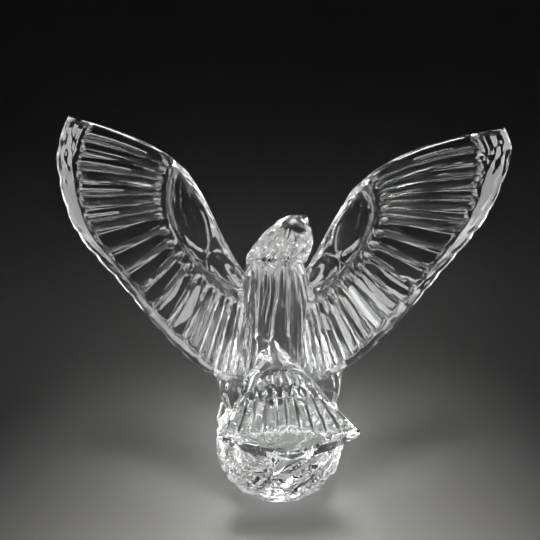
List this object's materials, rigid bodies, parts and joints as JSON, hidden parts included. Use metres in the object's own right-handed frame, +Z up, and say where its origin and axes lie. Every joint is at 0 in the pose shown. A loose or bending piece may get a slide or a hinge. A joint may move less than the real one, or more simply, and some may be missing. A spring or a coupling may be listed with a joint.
{
  "type": "crystal eagle figurine",
  "caption": "Clear crystal eagle with raised, fluted wings and a fanned tail, perched on a rough ball of rock; a mantel ornament that stands on its flat underside.",
  "frame": {"origin": "centre of the flat underside of the rock", "axes": "+Z up, +Y the way the eagle faces, +X to the bird's right-hand side as it is seen from behind"},
  "size_m": [0.1838, 0.0752, 0.1809],
  "materials": {
    "crystal": "clear lead crystal, fire polished"
  },
  "bodies": {
    "root": {"crystal_eagle": "crystal"}
  },
  "joints": []
}
